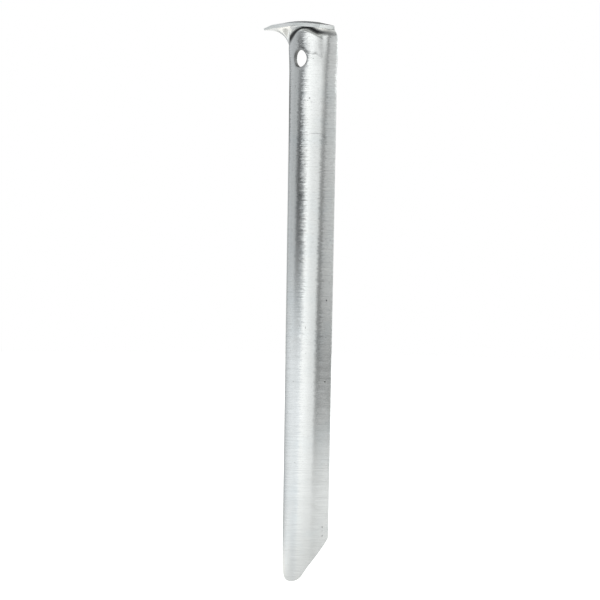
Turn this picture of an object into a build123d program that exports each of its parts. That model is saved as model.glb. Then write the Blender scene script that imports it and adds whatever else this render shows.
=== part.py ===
from build123d import *
import os
from math import atan, cos, exp, hypot, pi, sin, sqrt

# Half-round sheet-steel tent stake, pressed from one strip.
# Frame: origin on the channel's axis at the height of the foot's lowest point.
# +Z runs along the stake to the head, -Y is the outward (convex) side that the
# hook turns towards, X is across the channel.
#
# A place on the strip is given by two fractions: across, -1 at the -X edge to
# 1 at the +X edge, and up, 0 at the blank's foot end to 1 at the hook's front edge.

# ---- sizes, mm --------------------------------------------------------------
LENGTH = 304.8            # foot point to the crest of the bend
SHEET = 2.0               # sheet thickness

# channel: outer half width and depth, tapering between foot and head
FOOT_HALF_WIDTH = 14.5
FOOT_DEPTH = 14.5
HEAD_HALF_WIDTH = 16.2
HEAD_DEPTH = 12.9
TAPER_END = LENGTH - 20.0
FLARE = 0.6               # extra half width just under the bend
FLARE_START = LENGTH - 30.0
FLARE_HEIGHT = 18.0       # height over which the flare grows

# hook
HOOK_REACH = 19.3         # channel axis to the hook's front edge
HOOK_HALF_WIDTH = 21.5    # half width of the front edge
HOOK_DIP = 1.2            # front edge below the crest, at the middle
HOOK_DROOP = 1.5          # extra drop of the front corners
CREST_DROOP = 2.6         # drop of the crest at the strip's two edges
DROP_POWER = 1.6          # how late the hook drops on its way to the front edge
FRONT_FLAT = 2.5          # least flat stretch behind the front edge
RUN_BLEND = 2.5           # softens the limit that FRONT_FLAT puts on the bend
SHEAR_SLOPE = 2.0         # limits the top face's reach, per unit up, near the edge

# bend, measured on the outer face; each START and SPREAD is a fraction across
BEND_MID = 1.1            # rise and run at the middle
CREASE_RISE = 6.2         # where the crease arches down on both sides of it
CREASE_RUN = 3.4
CREASE_START, CREASE_SPREAD = 0.05, 0.7
FOLD_RISE = (17.0, 7.1)   # at the strip's edges, -X side then +X side: the
FOLD_RUN = (16.0, 6.5)    # metal folds over in a bigger sweep on the -X side
FOLD_START, FOLD_SPREAD = 0.49, 0.38

# gathered metal below the bend, and the crease between it and the hook
BULGE = 0.95              # how far the metal stands out
BULGE_FULL = 2.5          # depths below the bend where the bulge is full,
BULGE_FADE_START = 6.0    # starts to fade,
BULGE_FADE = 9.0          # and the height it fades over
BULGE_POWER = 2.2         # roundness of its upper edge
BULGE_EDGE, BULGE_SPREAD = 0.36, 0.24
NECK = 0.55               # depth of the crease
NECK_HEIGHT = 1.4
NECK_EDGE, NECK_SPREAD = 0.4, 0.3

# cord hole
HOLE_RADIUS = 4.75
HOLE_HEIGHT = 284.6       # height of the hole's centre
PUNCH_LENGTH = 12.0

# V point, as it lies in the flat strip
POINT_RADIUS = 9.1        # rounding of the tip
POINT_SLOPE = 1.30        # rise of the cropped edge per unit across
CROP_ACROSS = 1.16        # the crop runs past the strip's edges
CROP_INNER_RADIUS = 9.0   # the crop spans the sheet radially
CROP_OUTER_RADIUS = 20.0
CROP_HEIGHT = 60.0

# ---- stations ---------------------------------------------------------------
BLANK_END = -3.0          # the blank runs past the foot before it is cropped
HEAD_START = 252.0        # from here up, rows are spaced along the strip's own path
BEND_UP = 0.80            # up at the start of the bend
FLAT_UP = 0.93            # up at the start of the hook's flat stretch
DIFFERENCE_STEP = 1e-4    # step for finding the sheet's normal


def spaced(start, end, count):
    """Evenly spaced values over count intervals, both ends included."""
    return [start + (end - start) * k / count for k in range(count + 1)]


def clamp(x):
    return min(max(x, 0.0), 1.0)


def ramp(x, start, spread):
    """Smooth step from 0 at start to 1 at start + spread."""
    x = clamp((x - start) / spread)
    return x * x * (3.0 - 2.0 * x)


STATIONS = spaced(-1.0, 1.0, 24)
SHANK_HEIGHTS = spaced(BLANK_END, 220.0, 9) + [236.0, 246.0]
# fractions of the path from HEAD_START to the front edge, closer towards the hook
HEAD_FRACTIONS = [0.0, 0.06, 0.12, 0.18, 0.24, 0.30, 0.36, 0.41, 0.455, 0.495, 0.53]
HEAD_FRACTIONS += spaced(0.55, 1.0, 25)


# ---- formed sheet -----------------------------------------------------------
def section(z):
    """Outer half width and depth of the channel at height z."""
    taper = clamp(z / TAPER_END)
    half_width = FOOT_HALF_WIDTH + (HEAD_HALF_WIDTH - FOOT_HALF_WIDTH) * taper
    depth = FOOT_DEPTH + (HEAD_DEPTH - FOOT_DEPTH) * taper
    return half_width + FLARE * ramp(z, FLARE_START, FLARE_HEIGHT), depth


def bend(across):
    """Underside height of the crest, and rise and run of the bend."""
    off = abs(across)
    side = 0 if across < 0 else 1
    crease = ramp(off, CREASE_START, CREASE_SPREAD)
    fold = ramp(off, FOLD_START, FOLD_SPREAD)
    rise = BEND_MID + (CREASE_RISE - BEND_MID) * crease + (FOLD_RISE[side] - CREASE_RISE) * fold
    run = BEND_MID + (CREASE_RUN - BEND_MID) * crease + (FOLD_RUN[side] - CREASE_RUN) * fold
    return LENGTH - SHEET - CREST_DROOP * off * off, rise, run


def shank_point(across, z, z_bend, relief):
    """Outer face of the channel at height z."""
    off = abs(across)
    angle = across * pi / 2.0
    half_width, depth = section(z)
    below = z_bend - z
    if below < BULGE_FULL:
        swell = 1.0 - (1.0 - below / BULGE_FULL) ** BULGE_POWER
    else:
        swell = 1.0 - ramp(below, BULGE_FADE_START, BULGE_FADE)
    bulge = BULGE * relief * swell * (1.0 - ramp(off, BULGE_EDGE, BULGE_SPREAD))
    neck = NECK * relief * (1.0 - ramp(off, NECK_EDGE, NECK_SPREAD))
    push = bulge - neck * exp(-((below / NECK_HEIGHT) ** 2))
    return Vector((half_width + push) * sin(angle), -(depth + push) * cos(angle), z)


def outer(across, up, relief=1.0):
    """Point on the sheet's outer face; relief 0 leaves out the bulge and its crease."""
    off = abs(across)
    under_crest, rise, run = bend(across)
    z_bend = under_crest - rise
    if up <= BEND_UP:
        z = BLANK_END + (z_bend - BLANK_END) * up / BEND_UP
        return shank_point(across, z, z_bend, relief)

    under_front = LENGTH - SHEET - HOOK_DIP - HOOK_DROOP * off * off
    start = shank_point(across, z_bend, z_bend, relief)
    dx = HOOK_HALF_WIDTH * across - start.X
    dy = -HOOK_REACH - start.Y
    span = hypot(dx, dy)
    # smooth minimum of the bend's run and the room behind the flat stretch
    room = span - FRONT_FLAT
    blend = clamp(0.5 + (room - run) / (2.0 * RUN_BLEND))
    run = room * (1.0 - blend) + run * blend - RUN_BLEND * blend * (1.0 - blend)
    turn = min((up - BEND_UP) / (FLAT_UP - BEND_UP), 1.0) * pi / 2.0
    flat = max(up - FLAT_UP, 0.0) / (1.0 - FLAT_UP)
    travel = run * (1.0 - cos(turn)) + (span - run) * flat
    drop = (under_front - under_crest) * (travel / span) ** DROP_POWER
    return Vector(
        start.X + dx / span * travel,
        start.Y + dy / span * travel,
        z_bend + rise * sin(turn) + drop,
    )


def inner(across, up):
    """Point on the sheet's inner face, one thickness behind the plain outer face."""
    left = outer(max(across - DIFFERENCE_STEP, -1.0), up, 0.0)
    right = outer(min(across + DIFFERENCE_STEP, 1.0), up, 0.0)
    below = outer(across, max(up - DIFFERENCE_STEP, 0.0), 0.0)
    above = outer(across, min(up + DIFFERENCE_STEP, 1.0), 0.0)
    normal = (right - left).cross(above - below).normalized()
    point = outer(across, up, 0.0) - normal * SHEET
    # the sheared front edge is square to the stake's depth
    if up >= 1.0:
        return Vector(point.X, -HOOK_REACH, point.Z)
    if up > FLAT_UP:
        limit = (1.0 - up) * SHEAR_SLOPE - HOOK_REACH
        return Vector(point.X, max(point.Y, limit), point.Z)
    return point


# ---- rows of the loft -------------------------------------------------------
def level(across, z):
    """up at height z on the shank."""
    under_crest, rise, _ = bend(across)
    return BEND_UP * (z - BLANK_END) / (under_crest - rise - BLANK_END)


def head_path(across):
    """up values from HEAD_START to the front edge, with the length run at each."""
    ups = spaced(level(across, HEAD_START), BEND_UP, 60)[:-1]
    ups += spaced(BEND_UP, FLAT_UP, 60)[:-1] + spaced(FLAT_UP, 1.0, 20)
    points = [outer(across, up, 0.0) for up in ups]
    lengths = [0.0]
    for near, far in zip(points[:-1], points[1:]):
        lengths.append(lengths[-1] + (far - near).length)
    return ups, lengths


def up_along(path, fraction):
    """up at a fraction of a head path's length."""
    ups, lengths = path
    target = fraction * lengths[-1]
    for i in range(1, len(lengths)):
        if lengths[i] >= target:
            part = (target - lengths[i - 1]) / (lengths[i] - lengths[i - 1])
            return ups[i - 1] + (ups[i] - ups[i - 1]) * part
    return 1.0


def profile(ups):
    """Closed outline of the sheet's cross-section through one up per station."""
    outside = [outer(across, up) for across, up in zip(STATIONS, ups)]
    inside = [inner(across, up) for across, up in zip(STATIONS, ups)]
    return Wire(
        [
            Edge.make_spline(outside),
            Edge.make_line(outside[-1], inside[-1]),
            Edge.make_spline(inside[::-1]),
            Edge.make_line(inside[0], outside[0]),
        ]
    )


def make_strip():
    paths = [head_path(across) for across in STATIONS]
    rows = [[level(across, z) for across in STATIONS] for z in SHANK_HEIGHTS]
    rows += [[up_along(path, fraction) for path in paths] for fraction in HEAD_FRACTIONS]
    return Solid.make_loft([profile(ups) for ups in rows], False)


# ---- cuts -------------------------------------------------------------------
def foot_height(across):
    """Height of the cropped edge."""
    offset = abs(across) * pi / 2.0 * FOOT_HALF_WIDTH
    slope = atan(POINT_SLOPE)
    tangent = POINT_RADIUS * sin(slope)
    if offset < tangent:
        return POINT_RADIUS - sqrt(POINT_RADIUS**2 - offset**2)
    return POINT_RADIUS * (1.0 - cos(slope)) + POINT_SLOPE * (offset - tangent)


def crop_edge(radius):
    """The V line laid round the channel's axis at one radius."""
    return Edge.make_spline(
        [
            Vector(radius * sin(a * pi / 2), -radius * cos(a * pi / 2), foot_height(a))
            for a in spaced(-CROP_ACROSS, CROP_ACROSS, 64)
        ]
    )


def make_crop():
    """Everything under a radial surface that follows the V line."""
    face = Face.make_surface_from_curves(
        crop_edge(CROP_INNER_RADIUS), crop_edge(CROP_OUTER_RADIUS)
    )
    return Solid.extrude(face, Vector(0, 0, -CROP_HEIGHT))


def make_punch():
    """Cord hole, punched square through the back of the channel."""
    place = Pos(0, -HEAD_DEPTH, HOLE_HEIGHT) * Rot(90, 0, 0)
    return place * Cylinder(HOLE_RADIUS, PUNCH_LENGTH)


stake = (Part() + make_strip()) - make_crop() - make_punch()
stake.label = "stake"

os.makedirs("parts", exist_ok=True)
export_step(stake, "parts/stake.step")
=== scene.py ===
"""A zinc-plated sheet-steel stake with a hooked head, standing in a light tent.

It stands upright on its point at Z = 0. The shank is a half-round channel centred on
X = 0, with its outer face toward -Y and its open side toward +Y. At the top the sheet
bends out into a hook that reaches toward -Y. The cord hole runs along Y.
"""
from math import atan, cos, pi, radians, sin

import bmesh
import bpy
import numpy as np
from mathutils import Matrix, Vector


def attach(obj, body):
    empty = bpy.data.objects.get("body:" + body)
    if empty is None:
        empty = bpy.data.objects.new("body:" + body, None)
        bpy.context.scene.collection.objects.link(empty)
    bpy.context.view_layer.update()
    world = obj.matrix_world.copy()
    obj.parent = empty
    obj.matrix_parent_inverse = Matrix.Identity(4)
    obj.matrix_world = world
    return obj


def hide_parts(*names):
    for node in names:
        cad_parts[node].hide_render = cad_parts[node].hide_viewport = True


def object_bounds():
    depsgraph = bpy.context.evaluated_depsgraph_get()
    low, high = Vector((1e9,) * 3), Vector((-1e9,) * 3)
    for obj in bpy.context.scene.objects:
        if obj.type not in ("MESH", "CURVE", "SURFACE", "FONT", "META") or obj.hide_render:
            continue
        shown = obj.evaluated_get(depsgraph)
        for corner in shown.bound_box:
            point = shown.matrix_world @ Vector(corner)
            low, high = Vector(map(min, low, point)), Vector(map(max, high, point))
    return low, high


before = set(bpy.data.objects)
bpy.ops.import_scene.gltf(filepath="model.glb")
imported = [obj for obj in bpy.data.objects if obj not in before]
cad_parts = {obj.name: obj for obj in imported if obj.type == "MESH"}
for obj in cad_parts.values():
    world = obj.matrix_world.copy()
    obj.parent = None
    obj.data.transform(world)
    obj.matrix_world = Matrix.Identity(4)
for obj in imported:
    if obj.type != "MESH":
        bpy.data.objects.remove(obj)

cad_box = [list(map(float, corner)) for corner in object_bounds()]

# ------------------------------------------------------------------ dimensions
# The stake is drawn in millimetres and scaled to metres; the stage is in metres.
MM = 0.001
LENGTH, SHEET = 304.8, 2.0
# half-round section at the foot and at the head; the flare widens the top
FOOT_HALF_WIDTH, FOOT_DEPTH = 14.5, 14.5
HEAD_HALF_WIDTH, HEAD_DEPTH, FLARE = 16.2, 12.9, 0.6
POINT_RADIUS, POINT_SLOPE = 9.1, 1.30
HOOK_REACH, HOOK_HALF_WIDTH = 19.3, 21.5
HOOK_DIP, HOOK_DROOP, CREST_DROOP = 1.2, 1.5, 2.6
HOOK_FLAT, RUN_BLEND = 2.5, 2.5  # least hook beyond the bend, softness of that limit
# rise and run of the bend: at mid-width, in the crease, and in the -X and +X folds
BEND_MID, CREASE_RISE, CREASE_RUN = 1.1, 6.2, 3.4
FOLD_RISE, FOLD_RUN, FOLD_START, FOLD_SPREAD = (17.0, 7.1), (16.0, 6.5), 0.49, 0.38
# metal gathered below the bend, and the neck drawn in at the bend itself
BULGE, BULGE_TOP, BULGE_POWER = 0.95, 2.5, 2.2
NECK, NECK_HEIGHT = 0.55, 1.4
HOLE_RADIUS, HOLE_HEIGHT = 4.75, 284.6
BEVEL = 0.32

# ------------------------------------------------------------------ mesh layout
COLUMNS = 96
SHANK_ROWS, BEND_ROWS, HOOK_ROWS = 100, 24, 13
HEAD_SPAN = 42.0  # stretch below the bend with fine rows
BLOCK_HALF_COLUMNS, BLOCK_HALF_HEIGHT = 16, 8.2  # cells round the hole, remade as rings
RINGS, RING_SPACING = 9, 1.25  # spacing is a power: above 1 crowds rings at the hole
INNER_STRETCH = 1.105  # sideways widening of the inner face's rings
PLATE, EDGE, WALL, HOOK_EDGE = range(4)  # material slots


# ------------------------------------------------------------------ sheet shape
# u runs across the strip from -1 (the -X edge) to 1 (the +X edge).
def eased(x, start, span):
    """Smooth step from 0 at start to 1 at start + span."""
    x = np.clip((x - start) / span, 0.0, 1.0)
    return x * x * (3.0 - 2.0 * x)


def section(z):
    """Half-width and depth of the channel at height z."""
    up = np.clip(z / (LENGTH - 20.0), 0.0, 1.0)
    half_width = FOOT_HALF_WIDTH + (HEAD_HALF_WIDTH - FOOT_HALF_WIDTH) * up
    depth = FOOT_DEPTH + (HEAD_DEPTH - FOOT_DEPTH) * up
    return half_width + FLARE * eased(z, start=LENGTH - 30.0, span=18.0), depth


def foot(u):
    """Height of the lower edge: a rounded point with straight flanks."""
    arc = np.abs(u) * pi / 2.0 * FOOT_HALF_WIDTH
    r, lean = POINT_RADIUS, atan(POINT_SLOPE)
    return np.where(
        arc < r * sin(lean),
        r - np.sqrt(np.maximum(r * r - np.minimum(arc, r) ** 2, 0.0)),
        r * (1.0 - cos(lean)) + POINT_SLOPE * (arc - r * sin(lean)),
    )


def bend_start(u):
    """Height where the bend starts, its rise and run, and its underside height."""
    q = np.abs(u)
    crease = eased(q, start=0.05, span=0.7)
    fold = eased(q, FOLD_START, FOLD_SPREAD)
    fold_rise, fold_run = (np.where(u < 0, *sides) for sides in (FOLD_RISE, FOLD_RUN))
    rise = BEND_MID + (CREASE_RISE - BEND_MID) * crease + (fold_rise - CREASE_RISE) * fold
    run = BEND_MID + (CREASE_RUN - BEND_MID) * crease + (fold_run - CREASE_RUN) * fold
    under_bend = LENGTH - SHEET - CREST_DROOP * q * q
    return under_bend - rise, rise, run, under_bend


def neck_fade(u):
    return 1.0 - eased(np.abs(u), start=0.4, span=0.3)


def shank(u, z, relief=1.0):
    """Outer face below the bend; relief scales the bulge and the neck."""
    half_width, depth = section(z)
    below = bend_start(u)[0] - z
    bulge = np.where(
        below < BULGE_TOP,
        1.0 - np.clip(1.0 - below / BULGE_TOP, 0.0, 1.0) ** BULGE_POWER,
        1.0 - eased(below, start=3.5, span=15.0),
    )
    across = 1.0 - eased(np.abs(u), start=0.36, span=0.24)
    neck = NECK * np.exp(-((below / NECK_HEIGHT) ** 2)) * neck_fade(u)
    push = relief * (BULGE * bulge * across - neck)
    turn = u * pi / 2.0
    x, y = (half_width + push) * np.sin(turn), -(depth + push) * np.cos(turn)
    return np.stack([x, y, z + 0.0 * turn], -1)


def hook(u, p, relief=1.0):
    """The same face round the bend (p 0..1) and under the hook (p 1..2)."""
    z_bend, rise, run, under_bend = bend_start(u)
    under_front = LENGTH - SHEET - HOOK_DIP - HOOK_DROOP * u * u
    half_width, depth = section(z_bend)
    neck = NECK * (relief * neck_fade(u))
    turn = u * pi / 2.0
    x0, out0 = (half_width - neck) * np.sin(turn), (depth - neck) * np.cos(turn)
    dx, d_out = HOOK_HALF_WIDTH * u - x0, HOOK_REACH - out0
    span = np.hypot(dx, d_out)
    # smooth minimum of the run and the room left for it
    room = span - HOOK_FLAT
    blend = np.clip(0.5 + (room - run) / (2.0 * RUN_BLEND), 0.0, 1.0)
    run = room * (1.0 - blend) + run * blend - RUN_BLEND * blend * (1.0 - blend)
    bend = np.clip(p, 0.0, 1.0) * pi / 2.0
    along = run * (1.0 - np.cos(bend)) + (span - run) * np.clip(p - 1.0, 0.0, 1.0)
    z = z_bend + rise * np.sin(bend) + (under_front - under_bend) * (along / span) ** 1.6
    return np.stack([x0 + dx / span * along, -(out0 + d_out / span * along), z], -1)


def strip(u, s, relief=1.0):
    """Outer face of the strip; s 0..1 shank, 1..2 head, 2..3 bend, 3..4 hook."""
    z_bend, z_foot = bend_start(u)[0], foot(u)
    z_shank = z_foot + (z_bend - HEAD_SPAN - z_foot) * np.clip(s, 0, 1)
    z_head = z_bend - HEAD_SPAN * (1.0 - np.clip(s - 1.0, 0, 1))
    low = shank(u, np.where(s <= 1.0, z_shank, z_head), relief)
    high = hook(u, np.clip(s - 2.0, 0, 2), relief)
    return np.where((s <= 2.0)[..., None], low, high)


def face_normal(surface, u, v, step, u_range=(-np.inf, np.inf), v_range=(-np.inf, np.inf)):
    """Unit normal of a face without relief, from differences in u and v."""
    u0, u1 = np.clip(u - step, *u_range), np.clip(u + step, *u_range)
    v0, v1 = np.clip(v - step, *v_range), np.clip(v + step, *v_range)
    normal = np.cross(
        surface(u1, v, 0.0) - surface(u0, v, 0.0),
        surface(u, v1, 0.0) - surface(u, v0, 0.0),
    )
    return normal / np.maximum(np.linalg.norm(normal, axis=-1, keepdims=True), 1e-12)


# ---------------------------------------------------------------- pressing marks
# deep crease under the hook: u, height, half-height, strength
CREASE = [
    (-1.00, 289.0, 0.6, 0.0), (-0.62, 291.5, 1.3, 0.7), (-0.50, 293.6, 2.3, 1.0),
    (-0.38, 295.4, 2.7, 1.0), (-0.27, 296.6, 2.7, 1.0), (-0.17, 298.2, 2.2, 1.0),
    (-0.08, 299.8, 1.5, 1.0), (0.03, 301.2, 0.9, 1.0), (0.13, 301.4, 0.85, 1.0),
    (0.21, 301.2, 1.0, 1.0), (0.28, 300.6, 1.3, 1.0), (0.35, 299.7, 1.5, 1.0),
    (0.42, 298.9, 1.4, 1.0), (0.54, 298.4, 1.1, 0.9), (0.75, 297.9, 1.3, 0.55),
    (1.00, 297.6, 1.1, 0.35),
]
# how dark each mark is, and how deep in mm; the crease's darkness is painted shade in the
# fold
CREASE_SHADE, CREASE_SINK = 1.0, 0.55
PRESS_DARK, PRESS_SINK = 0.60, 0.14
PIT_DARK, PIT_SINK = 0.6, 0.25
PIT_U, PIT_HEIGHT, PIT_RADIUS, PIT_MM_PER_U = 0.045, 292.9, 0.55, 20.5


def crease_mark(u, z):
    at_u, *columns = zip(*CREASE)
    centre, half_height, strength = (np.interp(u, at_u, column) for column in columns)
    return strength * np.exp(-(np.abs((z - centre) / half_height) ** 2.6))


def press_mark(u, z):
    """Shallow wavy line under the gathered metal."""
    centre = 288.9 - 7.0 * (u - 0.07) + 0.5 * np.sin(u * 19.0) + 0.22 * np.sin(u * 47.0 + 1.0)
    extent = eased(u, start=-0.02, span=0.1) * (1.0 - eased(u, start=0.48, span=0.12))
    broken = 0.65 + 0.35 * np.sin(u * 31.0 + 2.0)
    return extent * np.exp(-(((z - centre) / 0.55) ** 2)) * broken


def small_marks(u, z):
    """Darkness and depth of the press line and one small pit."""
    press = press_mark(u, z)
    off2 = ((u - PIT_U) * PIT_MM_PER_U) ** 2 + (z - PIT_HEIGHT) ** 2
    pit = np.exp(-off2 / PIT_RADIUS**2)
    return PRESS_DARK * press + PIT_DARK * pit, PRESS_SINK * press + PIT_SINK * pit


# ------------------------------------------------------------------- strip grid
def row_stations():
    """Values of s for the rows: even shank, head finer near the bend, bend, hook."""
    rows = list(np.linspace(0.0, 1.0, SHANK_ROWS + 1)[:-1])
    below = HEAD_SPAN
    while below > 0.15:
        rows.append(2.0 - below / HEAD_SPAN)
        below -= 0.8 if below > 3.3 else 0.3
    rows += list(2.0 + np.linspace(0.0, 1.0, BEND_ROWS + 1)[:-1])
    rows += list(3.0 + np.linspace(0.0, 1.0, HOOK_ROWS))
    return np.array(rows)


column_u = np.linspace(-1.0, 1.0, COLUMNS + 1)
row_s = row_stations()
LAST_ROW = len(row_s) - 1
grid_u, grid_s = np.meshgrid(column_u, row_s)
normals = face_normal(strip, grid_u, grid_s, 1e-4, u_range=(-1, 1), v_range=(0, 4))
outer = strip(grid_u, grid_s)
inner = strip(grid_u, grid_s, 0.0) - SHEET * normals
# the hook's upper face stays behind its end, each row 0.05 mm behind the next
limit = 0.05 * (LAST_ROW - np.arange(LAST_ROW + 1))[:, None] - HOOK_REACH
inner[:, :, 1] = np.where(grid_s > 3.0, np.maximum(inner[:, :, 1], limit), inner[:, :, 1])
inner[-1, :, 1] = outer[-1, :, 1]
# the hook's -X corner is drawn thin by the bigger fold
inner[..., 2] -= 0.95 * eased(-grid_u, 0.70, 0.30) * eased(grid_s, 3.2, 0.8)

above_shank = grid_s > 1.0
crease = crease_mark(grid_u, outer[..., 2])
dark, sink = small_marks(grid_u, outer[..., 2])
# painted shade in the crease, added to the darkness of the press line and pit
dark = np.clip(CREASE_SHADE * crease + dark, 0, 1) * above_shank
outer = outer - normals * ((CREASE_SINK * crease + sink) * above_shank)[..., None]

# painted reflection: the underside of the bend is painted pale cream, apart from the dark
# marks
painted_sheen = eased(grid_s, 2.08, 0.2) * (1.0 - eased(grid_s, 2.95, 0.15))
painted_sheen = painted_sheen * (1.0 - eased(np.abs(grid_u), 0.62, 0.2)) * (1.0 - np.clip(dark * 1.5, 0, 1))


def nearest_head_row(height):
    rows = np.where((row_s > 1.0) & (row_s < 2.0))[0]
    return min(rows, key=lambda row: abs(outer[row, COLUMNS // 2, 2] - height))


block_bottom = nearest_head_row(HOLE_HEIGHT - BLOCK_HALF_HEIGHT)
block_top = nearest_head_row(HOLE_HEIGHT + BLOCK_HALF_HEIGHT)
block_left = COLUMNS // 2 - BLOCK_HALF_COLUMNS
block_right = COLUMNS // 2 + BLOCK_HALF_COLUMNS


def outline(bottom, top, left, right):
    """Grid nodes round a rectangle, counter-clockwise seen from -Y (x right, z up)."""
    nodes = [(bottom, i) for i in range(left, right)]
    nodes += [(j, right) for j in range(bottom, top)]
    nodes += [(top, i) for i in range(right, left, -1)]
    return nodes + [(j, left) for j in range(top, bottom, -1)]


block_outline = outline(block_bottom, block_top, block_left, block_right)


def ring_points(stretch, is_inner):
    """Places, u, z and depth marks of the rings, from the hole's rim outward."""
    border_x = np.array([outer[node][0] for node in block_outline])
    border_z = np.array([outer[node][2] for node in block_outline])
    count = len(block_outline)
    angle = np.unwrap(np.arctan2(border_z - HOLE_HEIGHT, border_x))
    angle = 0.35 * angle + 0.65 * (angle[0] + np.arange(count) / count * 2 * pi)
    rim_x = HOLE_RADIUS * stretch * np.cos(angle)
    rim_z = HOLE_HEIGHT + HOLE_RADIUS * np.sin(angle)
    rings = []
    for k in range(RINGS):
        w = (k / RINGS) ** RING_SPACING
        x, z = rim_x * (1 - w) + border_x * w, rim_z * (1 - w) + border_z * w
        u = np.zeros(count)
        for _ in range(12):
            # Newton step toward shank(u, z).x = x
            shank_x = shank(u, z)[:, 0]
            gradient = (shank(u + 1e-4, z)[:, 0] - shank_x) / 1e-4
            u = u + (x - shank_x) / gradient
        # punching draws the rim in a little
        from_rim = np.hypot(x / stretch, z - HOLE_HEIGHT) - HOLE_RADIUS
        pull = 0.16 * np.exp(-((from_rim / 0.9) ** 2))
        pull = pull + (SHEET if is_inner else small_marks(u, z)[1])
        place = shank(u, z, 0.0 if is_inner else 1.0)
        place = place - face_normal(shank, u, z, 1e-3) * pull[:, None]
        rings.append((place, u, z))
    return rings


# ------------------------------------------------------------------- stake mesh
class SheetMesh:
    """The sheet as a bmesh, with strip coordinates, dark marks with painted shade, and a
    painted sheen kept per vertex.
    """

    def __init__(self):
        self.bm = bmesh.new()
        self.uv = self.bm.loops.layers.uv.new("strip")
        self.dark = self.bm.verts.layers.float.new("dark")
        self.painted_sheen = self.bm.verts.layers.float.new("painted_sheen")
        self.strip_place = {}

    def vertex(self, place, strip_place, dark=0.0, painted_sheen=0.0):
        vertex = self.bm.verts.new(place)
        vertex[self.dark], vertex[self.painted_sheen] = float(dark), float(painted_sheen)
        self.strip_place[vertex] = strip_place
        return vertex

    def quad(self, *corners, material=PLATE):
        self.bm.faces.new(corners).material_index = material

    def set_uvs(self):
        """Lay u across and the height along, in millimetres over 100."""
        for face in self.bm.faces:
            for corner in face.loops:
                u, z = self.strip_place[corner.vert]
                corner[self.uv].uv = (u * 0.225 + 0.5, z * 0.01)


def add_grid(sheet):
    """Both faces of the strip, leaving out the block round the hole."""
    outs, ins = {}, {}
    for j in range(LAST_ROW + 1):
        for i in range(COLUMNS + 1):
            if block_bottom < j < block_top and block_left < i < block_right:
                continue
            # past the bend's start, each unit of s counts as 12 mm of strip
            z = outer[j, i, 2] if row_s[j] <= 2 else LENGTH + (row_s[j] - 2) * 12.0
            place = (column_u[i], z)
            outs[j, i] = sheet.vertex(outer[j, i], place, dark[j, i], painted_sheen[j, i])
            ins[j, i] = sheet.vertex(inner[j, i], place)
    for j in range(LAST_ROW):
        for i in range(COLUMNS):
            if block_bottom <= j < block_top and block_left <= i < block_right:
                continue
            sheet.quad(outs[j, i], outs[j, i + 1], outs[j + 1, i + 1], outs[j + 1, i])
            sheet.quad(ins[j, i], ins[j + 1, i], ins[j + 1, i + 1], ins[j, i + 1])
    return outs, ins


def add_ring_verts(sheet, rings, grid_verts, is_inner):
    rows = []
    for ring, (places, u, z) in enumerate(rings):
        # painted shade darkens the two rings nearest the hole's rim
        rim_shade = (0.75, 0.35, 0.0)[min(ring, 2)]
        marks = 0.0 * u if is_inner else np.minimum(small_marks(u, z)[0], 1.0)
        rows.append([
            sheet.vertex(place, (float(at_u), float(at_z)), max(rim_shade, mark))
            for place, at_u, at_z, mark in zip(places, u, z, marks)
        ])
    return rows + [[grid_verts[node] for node in block_outline]]


def add_hole(sheet, outs, ins):
    """Rings round the cord hole and its wall; returns the wall's edges."""
    out_points, in_points = ring_points(1.0, False), ring_points(INNER_STRETCH, True)
    # straight wall: the inner rim sits square behind the outer one
    in_points[0][0][:, [0, 2]] = out_points[0][0][:, [0, 2]]
    out_rings = add_ring_verts(sheet, out_points, outs, is_inner=False)
    in_rings = add_ring_verts(sheet, in_points, ins, is_inner=True)
    count = len(block_outline)
    for k in range(RINGS):
        (o0, o1), (i0, i1) = out_rings[k:k + 2], in_rings[k:k + 2]
        for m in range(count):
            after = (m + 1) % count
            sheet.quad(o0[m], o1[m], o1[after], o0[after])
            sheet.quad(i0[m], i0[after], i1[after], i1[m])
    return out_rings[0], in_rings[0]


def add_sheared_faces(sheet, outs, ins, out_rim, in_rim):
    """Close the strip's border and the hole's wall; returns their sharp edges."""
    sharp = []
    edge = sheet.bm.edges.get
    border = outline(0, LAST_ROW, 0, COLUMNS)
    for a, b in zip(border, border[1:] + border[:1]):
        # the hook's edges take their own slot, painted brighter as a highlight
        on_hook = min(a[0], b[0]) >= LAST_ROW - HOOK_ROWS
        material = HOOK_EDGE if on_hook else EDGE
        sheet.quad(outs[b], outs[a], ins[a], ins[b], material=material)
        sharp += [edge((outs[a], outs[b])), edge((ins[a], ins[b]))]
    for k in range(len(out_rim)):
        k2 = (k + 1) % len(out_rim)
        sheet.quad(out_rim[k], out_rim[k2], in_rim[k2], in_rim[k], material=WALL)
        sharp += [edge((out_rim[k], out_rim[k2])), edge((in_rim[k], in_rim[k2]))]
    for corner in ((0, 0), (0, COLUMNS), (LAST_ROW, COLUMNS), (LAST_ROW, 0)):
        sharp.append(edge((outs[corner], ins[corner])))
    return sharp


def link_object(name, data):
    obj = bpy.data.objects.new(name, data)
    bpy.context.scene.collection.objects.link(obj)
    return obj


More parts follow.
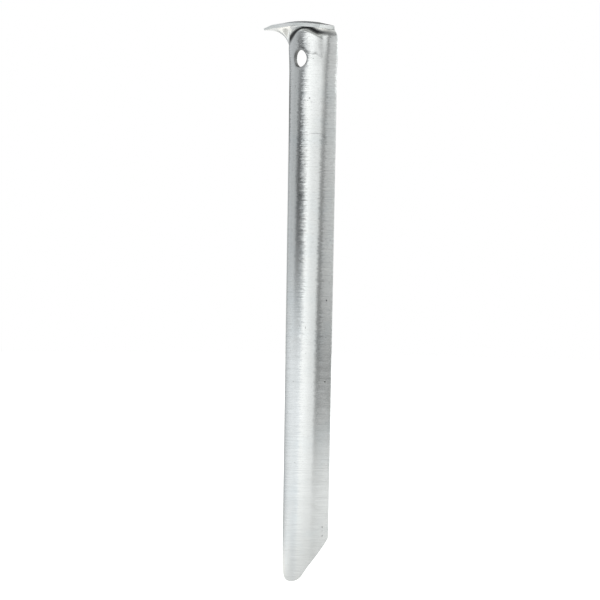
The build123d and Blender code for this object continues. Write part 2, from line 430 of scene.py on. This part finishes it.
def build_stake():
    sheet = SheetMesh()
    outs, ins = add_grid(sheet)
    out_rim, in_rim = add_hole(sheet, outs, ins)
    sharp = add_sheared_faces(sheet, outs, ins, out_rim, in_rim)
    sheet.set_uvs()
    bm = sheet.bm
    bm.normal_update()
    bmesh.ops.bevel(
        bm,
        geom=sharp,
        offset=BEVEL,
        offset_type="OFFSET",
        segments=3,
        profile=0.5,
        affect="EDGES",
        clamp_overlap=True,
        material=-1,
    )
    bmesh.ops.recalc_face_normals(bm, faces=bm.faces[:])
    # to metres, held just inside the CAD piece's box
    for v in bm.verts:
        v.co = [min(max(c * MM, lo + 1e-6), hi - 1e-6) for c, lo, hi in zip(v.co, *cad_box)]
    for face in bm.faces:
        face.smooth = True
    mesh = bpy.data.meshes.new("stake_sheet")
    bm.to_mesh(mesh)
    bm.free()
    stake = link_object("stake_sheet", mesh)
    weighted = stake.modifiers.new("weighted", "WEIGHTED_NORMAL")
    weighted.keep_sharp = False
    weighted.weight = 60
    return stake


# ------------------------------------------------------------------ node helper
class Graph:
    """Clears a material's or world's nodes, then adds and links new ones."""

    def __init__(self, owner, output="ShaderNodeOutputMaterial"):
        owner.use_nodes = True
        self.tree = owner.node_tree
        self.tree.nodes.clear()
        self.surface = self.tree.nodes.new(output).inputs["Surface"]

    def feed(self, socket, value):
        """Link a socket to another, or set its value (colours as r, g, b)."""
        if isinstance(value, bpy.types.NodeSocket):
            self.tree.links.new(value, socket)
        else:
            socket.default_value = (*value, 1.0) if socket.type == "RGBA" else value

    def add(self, kind, inputs={}, output=0, **properties):
        """Add a node and return one of its outputs."""
        node = self.tree.nodes.new(kind)
        for name, value in properties.items():
            setattr(node, name, value)
        for key, value in inputs.items():
            self.feed(node.inputs[key], value)
        return node.outputs[output]

    def math(self, operation, *values, clamp=False):
        inputs = dict(enumerate(values))
        return self.add("ShaderNodeMath", inputs, operation=operation, use_clamp=clamp)

    def vector(self, operation, *values, output="Vector"):
        inputs = dict(enumerate(values))
        return self.add("ShaderNodeVectorMath", inputs, output, operation=operation)

    def ramp(self, source, stops):
        """Linear colour ramp; stops are (position, grey or colour)."""
        output = self.add("ShaderNodeValToRGB", {0: source})
        elements = output.node.color_ramp.elements
        while len(elements) > 1:
            elements.remove(elements[-1])
        for k, (position, tone) in enumerate(stops):
            element = elements.new(position) if k else elements[0]
            element.position = position
            colour = tone if isinstance(tone, tuple) else (tone, tone, tone)
            element.color = (*colour, 1.0)
        return output

    def mix(self, factor, a, b, blend="MIX"):
        inputs = {0: factor, 6: a, 7: b}
        return self.add("ShaderNodeMix", inputs, 2, data_type="RGBA", blend_type=blend)

    def noise(self, vector, scale, detail, roughness):
        inputs = {"Vector": vector, "Scale": scale, "Detail": detail, "Roughness": roughness}
        return self.add("ShaderNodeTexNoise", inputs)

    def bump(self, height, strength, distance, invert=False, **normal):
        inputs = {"Strength": strength, "Distance": distance, "Height": height, **normal}
        return self.add("ShaderNodeBump", inputs, invert=invert)

    def object_place(self):
        return self.add("ShaderNodeTexCoord", output="Object")

    def split_by_ray(self, seen, unseen):
        """One shader for camera rays, another for all other rays."""
        is_camera = self.add("ShaderNodeLightPath", output="Is Camera Ray")
        return self.add("ShaderNodeMixShader", {0: is_camera, 1: unseen, 2: seen})


# ------------------------------------------------------------------- materials
# small scars on the outer face: u, height, radius, squeeze along z, tone
SCARS = [
    (0.802, 152.9, 0.55, 1, 0.9), (0.803, 108.8, 0.6, 1, 0.95),
    (0.283, 262.8, 0.5, 1, 0.75), (0.334, 260.7, 0.7, 1.6, 0.25),
    (0.237, 261.5, 0.5, 1.4, 0.3), (0.813, 29.8, 0.45, 1, 0.55),
    (0.815, 27.7, 0.35, 1, 0.35), (0.82, 25.0, 0.45, 1, 0.5),
    (0.445, 243.6, 4.2, 14, 0.42), (0.614, 242.7, 2.2, 9, 0.3),
    (0.04, 255.8, 1.1, 1.4, 0.3), (0.653, 241.9, 1.2, 1.0, 0.3),
]


def scar_mask(g, place):
    scars = 0.0
    for u, z, radius, squeeze, tone in SCARS:
        centre = [float(c) * MM for c in shank(np.array([u]), np.array([z]))[0]]
        scale = 1 / MM / radius
        offset = g.vector("SUBTRACT", place, centre)
        offset = g.vector("MULTIPLY", offset, (scale, scale, scale * squeeze))
        distance = g.vector("LENGTH", offset, output="Value")
        spot = g.ramp(distance, [(0.0, tone), (0.45, tone), (1.0, 0.0)])
        scars = g.math("MAXIMUM", spot, scars)
    return scars


def zinc_material():
    material = bpy.data.materials.new("zinc_plate")
    g = Graph(material)
    place = g.object_place()
    uv = g.add("ShaderNodeUVMap", uv_map="strip")

    def stretched(across, along, detail, roughness):
        """Noise in strip coordinates, with its own scale each way."""
        mapped = g.add("ShaderNodeMapping", {0: uv, "Scale": (across, along, 1.0)})
        return g.noise(mapped, scale=1.0, detail=detail, roughness=roughness)

    def centred(source, gain):
        return g.math("MULTIPLY", g.math("SUBTRACT", source, 0.5), gain)

    # rolling lines run across the strip
    lines = stretched(across=5.0, along=150.0, detail=3.0, roughness=0.65)
    fine = stretched(across=14.0, along=420.0, detail=2.0, roughness=0.6)
    streak = stretched(across=9.0, along=34.0, detail=3.0, roughness=0.55)
    mottle = stretched(across=48.0, along=92.0, detail=3.0, roughness=0.7)
    # the mottle is weaker near the foot; stops are heights in metres
    height = g.add("ShaderNodeSeparateXYZ", {0: place}, "Z")
    worn = g.ramp(height, [(0.0, 0.22), (0.05, 0.30), (0.13, 1.0)])
    mottle = g.math("MULTIPLY_ADD", g.math("SUBTRACT", mottle, 0.5), worn, 0.5)

    # cloudy plating tone, varied by each pattern, then small dark specks
    cloud = g.noise(place, scale=55.0, detail=3.0, roughness=0.6)
    speck = g.noise(place, scale=520.0, detail=1.0, roughness=0.5)
    specks = g.ramp(speck, [(0.0, 0.0), (0.77, 0.0), (0.82, 1.0)])
    plating = [(0.3, (0.755, 0.785, 0.79)), (0.5, (0.785, 0.80, 0.795)),
               (0.7, (0.81, 0.825, 0.825))]
    base = g.ramp(cloud, plating)
    for pattern, stops in (
        (lines, [(0.30, 0.93), (0.50, 1.0), (0.72, 1.04)]),
        (fine, [(0.30, 0.95), (0.55, 1.0), (0.75, 1.03)]),
        (mottle, [(0.30, 0.90), (0.50, 1.0), (0.70, 1.03)]),
    ):
        base = g.mix(1.0, base, g.ramp(pattern, stops), "MULTIPLY")
    base = g.mix(g.math("MULTIPLY", specks, 0.5), base, (0.30, 0.31, 0.31))
    # painted reflection on the bend's underside, toward pale cream
    underside_sheen = g.add("ShaderNodeAttribute", output="Fac", attribute_name="painted_sheen")
    base = g.mix(g.math("MULTIPLY", underside_sheen, 0.92), base, (1.0, 0.992, 0.96))

    # darkening from the vertex marks (painted shade in the crease and round the hole's rim,
    # with the press line and pit), painted shade in tight corners, and the scars
    marks = g.add("ShaderNodeAttribute", output="Fac", attribute_name="dark")
    # painted shade in tight corners, from ambient occlusion
    open_sky = g.add("ShaderNodeAmbientOcclusion", {"Distance": 0.004}, "AO", samples=8)
    corners = g.ramp(open_sky, [(0.0, 1.0), (0.25, 0.6), (0.5, 0.0)])
    scars = scar_mask(g, place)
    grime_and_shade = g.math("MAXIMUM", marks, g.math("MULTIPLY", corners, 0.6), clamp=True)
    grime_and_shade = g.math("MAXIMUM", grime_and_shade, scars)
    base = g.mix(g.math("MULTIPLY", grime_and_shade, 0.97), base, (0.02, 0.021, 0.023))

    # streaks, clouds and the grime-and-shade mask each add to a base roughness of 0.13
    rough = g.math("MULTIPLY_ADD", streak, 0.10, 0.13)
    rough = g.math("MULTIPLY_ADD", cloud, 0.04, rough)
    rough = g.math("MULTIPLY_ADD", grime_and_shade, 0.4, rough)

    # each line leans its own way, which frays the edges of reflections
    tangent = g.add("ShaderNodeTangent", direction_type="UV_MAP", uv_map="strip")
    lean = g.math("ADD", centred(lines, gain=0.24), centred(fine, gain=0.16))
    lean = g.math("ADD", lean, centred(streak, gain=0.07))
    lean = g.math("ADD", lean, centred(mottle, gain=0.26))
    tilt = g.add("ShaderNodeVectorMath", {0: tangent, "Scale": lean}, operation="SCALE")
    normal = g.add("ShaderNodeNewGeometry", output="Normal")
    normal = g.vector("NORMALIZE", g.vector("ADD", normal, tilt))
    normal = g.bump(lines, strength=0.25, distance=0.00005, Normal=normal)
    pits = g.math("MAXIMUM", specks, scars)
    normal = g.bump(pits, strength=0.5, distance=0.0001, invert=True, Normal=normal)
    g.feed(g.surface, g.add("ShaderNodeBsdfPrincipled", {
        "Base Color": base,
        "Metallic": 1.0,
        "Roughness": rough,
        "Anisotropic": 0.85,
        "Anisotropic Rotation": 0.25,
        "Tangent": tangent,
        "Normal": normal,
    }))
    return material


def sheared_material(name, level):
    """Grainy cut metal; level scales its brightness."""
    material = bpy.data.materials.new(name)
    g = Graph(material)
    place = g.object_place()
    grain = g.noise(place, scale=900.0, detail=3.0, roughness=0.6)
    cloud = g.noise(place, scale=140.0, detail=2.0, roughness=0.5)
    dull, bright = 0.62 * level, 0.72 * level
    g.feed(g.surface, g.add("ShaderNodeBsdfPrincipled", {
        "Base Color": g.ramp(cloud, [
            (0.3, (dull, dull * 1.03, dull * 1.02)),
            (0.7, (bright, bright * 1.02, bright * 1.015)),
        ]),
        "Metallic": 1.0,
        "Roughness": g.math("MULTIPLY_ADD", grain, 0.2, 0.38),
        "Normal": g.bump(grain, strength=0.4, distance=0.00008),
    }))
    return material


stake = build_stake()
stake.data.materials.append(zinc_material())
# painted light: the hole's wall is a darker copy for painted shade, the hook's edges a
# brighter copy for a painted highlight
for name, level in (("sheared_edge", 1.22), ("punched_wall_painted_shade", 0.30), ("hook_edge_painted_highlight", 1.42)):
    stake.data.materials.append(sheared_material(name, level))
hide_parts("stake")
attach(stake, "root")

# ----------------------------------------------------------------------- stage
VIEW_AZIMUTH = radians(45.0)
to_camera = Vector((sin(VIEW_AZIMUTH), -cos(VIEW_AZIMUTH), 0.0))
to_right = Vector((cos(VIEW_AZIMUTH), sin(VIEW_AZIMUTH), 0.0))
target = Vector((0.0, 0.0, LENGTH * MM / 2))
FLOOR_HALF, FLOOR_Z = 8, -0.0006
TENT_RADIUS, TENT_BOTTOM, TENT_TOP, TENT_SIDES = 0.30, 0.002, 0.90, 96


def stage_object(name, points, faces, material):
    mesh = bpy.data.meshes.new(name)
    mesh.from_pydata(points, [], faces)
    obj = link_object(name, mesh)
    mesh.materials.append(material)
    return obj


def floor_material():
    """Pale to the camera; in reflections, dim near the camera and bright beyond."""
    material = bpy.data.materials.new("pale_floor")
    g = Graph(material)
    glow = g.add("ShaderNodeEmission", {"Color": (1, 1, 1), "Strength": 0.62})
    matte = g.add("ShaderNodeBsdfDiffuse", {"Color": (0.8, 0.8, 0.8)})
    seen = g.add("ShaderNodeAddShader", {0: glow, 1: matte})
    away = g.vector("DOT_PRODUCT", g.object_place(), -to_camera, output="Value")
    back = g.ramp(g.math("MULTIPLY_ADD", away, 2.0, 0.5), [(0.44, 0.0), (0.62, 1.0)])
    tone = g.mix(back, (0.62, 0.625, 0.61), (1.15, 1.14, 1.11))
    reflected = g.add("ShaderNodeEmission", {"Color": tone})
    g.feed(g.surface, g.split_by_ray(seen=seen, unseen=reflected))
    return material


# Tent tones at four heights, lowest first: bearing in degrees to the right of the
# camera, brightness.
LOW = [
    (-180, 0.20), (-160, 0.32), (-143, 0.62), (-118, 0.86), (-107, 0.94), (-86, 1.04),
    (-72, 1.06), (-61, 1.13), (-53, 1.22), (-46, 1.20), (-38, 1.19), (-27, 1.13),
    (-7, 1.09), (9, 1.08), (27, 1.10), (62, 1.13), (82, 1.06), (92, 0.95), (104, 0.90),
    (114, 0.45), (150, 0.60), (180, 0.60),
]
MIDDLE = [
    (-180, 0.25), (-160, 0.32), (-145, 0.50), (-133, 0.64), (-118, 0.54), (-107, 0.56),
    (-96, 0.40), (-88, 0.09), (-76, 0.05), (-70, 0.10), (-61, 0.26), (-54, 0.78),
    (-46, 1.22), (-38, 1.09), (-27, 0.93), (-7, 0.90), (-1, 0.80), (6, 0.36), (13, 0.24),
    (18, 0.34), (27, 0.52), (36, 0.57), (62, 0.63), (82, 0.60), (90, 0.85), (104, 0.85),
    (114, 0.35), (130, 0.40), (150, 0.60), (180, 0.60),
]
TOP = [
    (-180, 0.10), (-158, 0.12), (-145, 0.20), (-133, 0.60), (-118, 0.54), (-107, 0.46),
    (-97, 0.60), (-90, 0.28), (-84, 0.05), (-76, 0.18), (-70, 1.25), (-60, 1.55),
    (-46, 1.22), (-38, 1.04), (-27, 0.92), (-4, 0.84), (4, 0.60), (12, 0.32), (19, 0.38),
    (27, 0.56), (36, 0.66), (62, 0.70), (82, 0.66), (92, 0.35), (130, 0.40), (180, 0.20),
]
CROWN = [
    (-180, 0.20), (-158, 0.30), (-140, 0.55), (-118, 0.62), (-104, 0.50), (-84, 0.40),
    (-68, 0.44), (-58, 1.20), (-30, 1.30), (-4, 1.10), (4, 1.00), (14, 0.94), (18, 0.50),
    (21, 0.30), (27, 0.34), (34, 0.60), (62, 0.68), (74, 0.70), (84, 2.0), (108, 2.0),
    (118, 0.40), (180, 0.20),
]


def tent_material():
    material = bpy.data.materials.new("tent_cloth")
    g = Graph(material)
    place = g.object_place()
    toward = g.vector("DOT_PRODUCT", place, to_camera, output="Value")
    rightward = g.vector("DOT_PRODUCT", place, to_right, output="Value")
    bearing = g.math("ARCTAN2", rightward, toward)
    bearing = g.math("MULTIPLY_ADD", bearing, 1.0 / (2 * pi), 0.5)
    height = g.add("ShaderNodeSeparateXYZ", {0: place}, "Z")

    def by_bearing(stops):
        return g.ramp(bearing, [(deg / 360.0 + 0.5, tone) for deg, tone in stops])

    def band(pairs):
        # cooler light comes from the left
        cool, neutral = (0.965, 0.995, 1.015), (0.99, 1.0, 0.995)
        return by_bearing([
            (deg, tuple(v * tint for tint in (cool if deg < -60 else neutral)))
            for deg, v in pairs
        ])

    def climb(start, end):
        """0 below the start height, 1 above the end height."""
        inputs = {"Value": height, "From Min": start, "From Max": end}
        return g.add("ShaderNodeMapRange", inputs, interpolation_type="SMOOTHSTEP")

    def product(a, b):
        return g.math("MULTIPLY", a, b)

    def inverse(a):
        return g.math("SUBTRACT", 1.0, a)

    # the low band gives way to the middle one sooner on the right
    right_side = by_bearing([(-30, 0.0), (-10, 1.0)])
    left_part = product(climb(0.118, 0.192), inverse(right_side))
    right_part = product(climb(0.048, 0.086), right_side)
    tone = g.mix(g.math("ADD", left_part, right_part), band(LOW), band(MIDDLE))
    # a deeper shadow low on the right
    far_right = by_bearing([(4, 0.0), (20, 1.0), (84, 1.0), (92, 0.0)])
    shade = product(climb(0.062, 0.088), inverse(climb(0.100, 0.150)))
    shade = product(product(shade, far_right), 0.80)
    tone = g.mix(shade, tone, (0.0, 0.0, 0.0))
    tone = g.mix(climb(0.234, 0.266), tone, band(TOP))
    tone = g.mix(climb(0.280, 0.292), tone, band(CROWN))
    # the lower back is lit, so the bend's underside shows bright over the crease
    behind = by_bearing([(-180, 1.0), (-170, 1.0), (-154, 0.0), (142, 0.0), (158, 1.0)])
    behind = product(behind, inverse(climb(0.255, 0.284)))
    tone = g.mix(behind, tone, (0.92, 0.92, 0.90))
    g.feed(g.surface, g.add("ShaderNodeEmission", {"Color": tone}))
    return material


def build_floor():
    corners = [(x * FLOOR_HALF, y * FLOOR_HALF, FLOOR_Z)
               for x, y in ((-1, -1), (1, -1), (1, 1), (-1, 1))]
    stage_object("floor", corners, [(0, 1, 2, 3)], floor_material())


def build_tent():
    """Upright drum round the stake, seen only as reflections in the metal."""
    points, faces = [], []
    for k in range(TENT_SIDES):
        turn = 2 * pi * k / TENT_SIDES
        x, y = TENT_RADIUS * cos(turn), TENT_RADIUS * sin(turn)
        points += [(x, y, TENT_BOTTOM), (x, y, TENT_TOP)]
        here, after = 2 * k, 2 * ((k + 1) % TENT_SIDES)
        faces.append((after, here, here + 1, after + 1))
    tent = stage_object("light_tent", points, faces, tent_material())
    for ray in ("camera", "diffuse", "shadow", "transmission", "volume_scatter"):
        setattr(tent, "visible_" + ray, False)


def build_world():
    world = bpy.data.worlds.new("studio")
    bpy.context.scene.world = world
    g = Graph(world, output="ShaderNodeOutputWorld")
    lighting = g.add("ShaderNodeBackground", {"Color": (0.80, 0.81, 0.81)})
    backdrop = g.add("ShaderNodeBackground", {"Color": (1, 1, 1)})
    g.feed(g.surface, g.split_by_ray(seen=backdrop, unseen=lighting))


def build_key_light():
    light = bpy.data.lights.new("key", "AREA")
    light.shape = "RECTANGLE"
    light.size = light.size_y = 1.4
    light.energy = 14.0
    key = link_object("key", light)
    key.location = (-0.6, -1.6, 1.7)
    aim = target - Vector((-0.6, -1.6, 1.7))
    key.rotation_euler = aim.to_track_quat("-Z", "Y").to_euler()
    key.visible_glossy = False


# ---------------------------------------------------------------------- camera
CAMERA_DISTANCE, CAMERA_ROLL = 2.6, radians(0.87)
CAMERA_LENS, SENSOR_WIDTH = 285.5892, 36.0  # mm
CAMERA_SHIFT = (-0.02116667, 0.002166667)  # fractions of the frame width


def build_camera():
    data = bpy.data.cameras.new("camera")
    data.sensor_width = SENSOR_WIDTH
    data.lens = CAMERA_LENS
    data.clip_end = 50.0
    data.shift_x, data.shift_y = CAMERA_SHIFT
    camera = bpy.data.objects.new("camera", data)
    place = Matrix.Translation(target + to_camera * CAMERA_DISTANCE)
    aim = (-to_camera).to_track_quat("-Z", "Y").to_matrix().to_4x4()
    camera.matrix_world = place @ aim @ Matrix.Rotation(CAMERA_ROLL, 4, "Z")
    bpy.context.scene.collection.objects.link(camera)
    bpy.context.scene.camera = camera


build_floor()
build_tent()
build_world()
build_key_light()
build_camera()
bpy.context.scene.view_settings.view_transform = "Standard"

bpy.context.view_layer.update()
